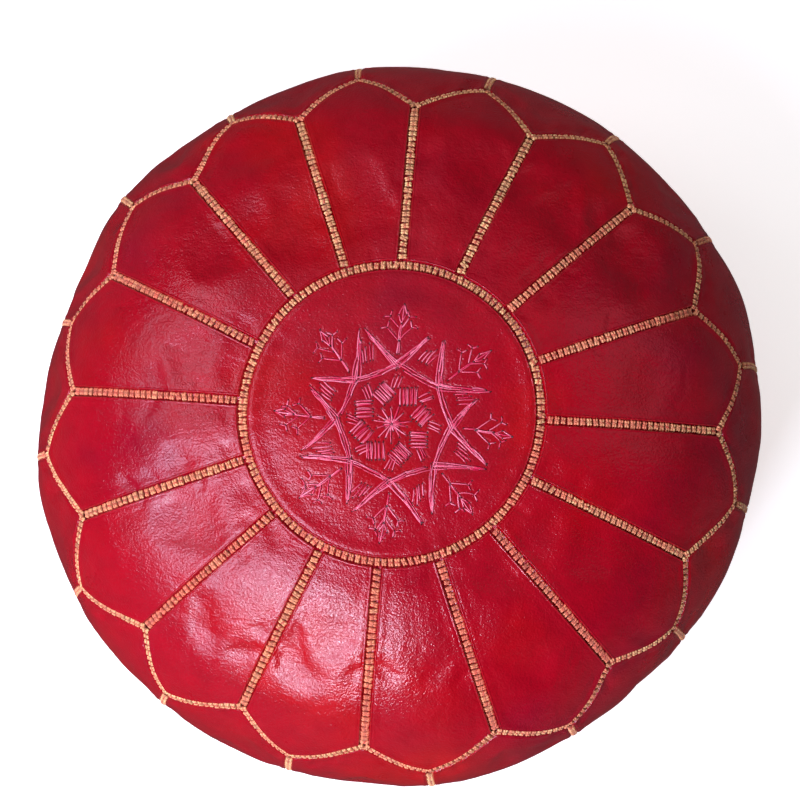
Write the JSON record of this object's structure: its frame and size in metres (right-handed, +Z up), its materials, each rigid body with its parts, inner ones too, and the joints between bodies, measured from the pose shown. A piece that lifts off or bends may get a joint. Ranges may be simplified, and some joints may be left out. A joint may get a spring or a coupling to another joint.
{
  "type": "moroccan leather pouf",
  "caption": "Round stuffed leather pouf with an embroidered medallion, petal panels, braided seams and a zip in the base.",
  "frame": {"origin": "on the floor under the middle of the pouf, in the plane of its flat base", "axes": "+Z up, +X along the zip in the base towards its closed end, +Y along one seam between two petals"},
  "size_m": [0.53, 0.53, 0.32],
  "materials": {
    "red_leather": "gloss",
    "base_leather": "satin",
    "gold_braid": "matte",
    "pink_silk": "satin",
    "cotton": "matte",
    "stuffing": "matte",
    "zip_tape": "matte",
    "zip_brass": "satin"
  },
  "bodies": {
    "cover": {"top_medallion": "red_leather", "medallion_embroidery": "pink_silk", "top_petal_01": "red_leather", "top_petal_02": "red_leather", "top_petal_03": "red_leather", "top_petal_04": "red_leather", "top_petal_05": "red_leather", "top_petal_06": "red_leather", "top_petal_07": "red_leather", "top_petal_08": "red_leather", "top_petal_09": "red_leather", "top_petal_10": "red_leather", "top_petal_11": "red_leather", "top_petal_12": "red_leather", "top_petal_13": "red_leather", "top_petal_14": "red_leather", "top_petal_15": "red_leather", "top_petal_16": "red_leather", "side_panel_01": "red_leather", "side_panel_02": "red_leather", "side_panel_03": "red_leather", "side_panel_04": "red_leather", "side_panel_05": "red_leather", "side_panel_06": "red_leather", "side_panel_07": "red_leather", "side_panel_08": "red_leather", "side_panel_09": "red_leather", "side_panel_10": "red_leather", "side_panel_11": "red_leather", "side_panel_12": "red_leather", "side_panel_13": "red_leather", "side_panel_14": "red_leather", "side_panel_15": "red_leather", "side_panel_16": "red_leather", "base_panel_front": "base_leather", "base_panel_rear": "base_leather", "medallion_ring_braid": "gold_braid", "petal_seam_braids": "gold_braid", "scallop_braids": "gold_braid", "side_seam_braids": "gold_braid", "base_ring_seam": "base_leather", "cotton_lining": "cotton", "cotton_stuffing": "stuffing", "zip_tape_front": "zip_tape", "zip_tape_rear": "zip_tape", "zip_teeth_front": "zip_brass", "zip_teeth_rear": "zip_brass", "zip_top_stops": "zip_brass", "zip_bottom_stop": "zip_brass"},
    "zip_slider": {"zip_slider": "zip_brass"},
    "zip_pull": {"zip_pull": "zip_brass"}
  },
  "joints": [
    {"name": "zip_slide", "type": "slide", "parent": "cover", "child": "zip_slider", "axis": [-1, 0, 0], "range_m": [0, 0.232]},
    {"name": "pull_hinge", "type": "hinge", "parent": "zip_slider", "child": "zip_pull", "pos_m": [0.1155, 0, 0.006], "axis": [0, -1, 0], "range_deg": [-10, 158]}
  ]
}
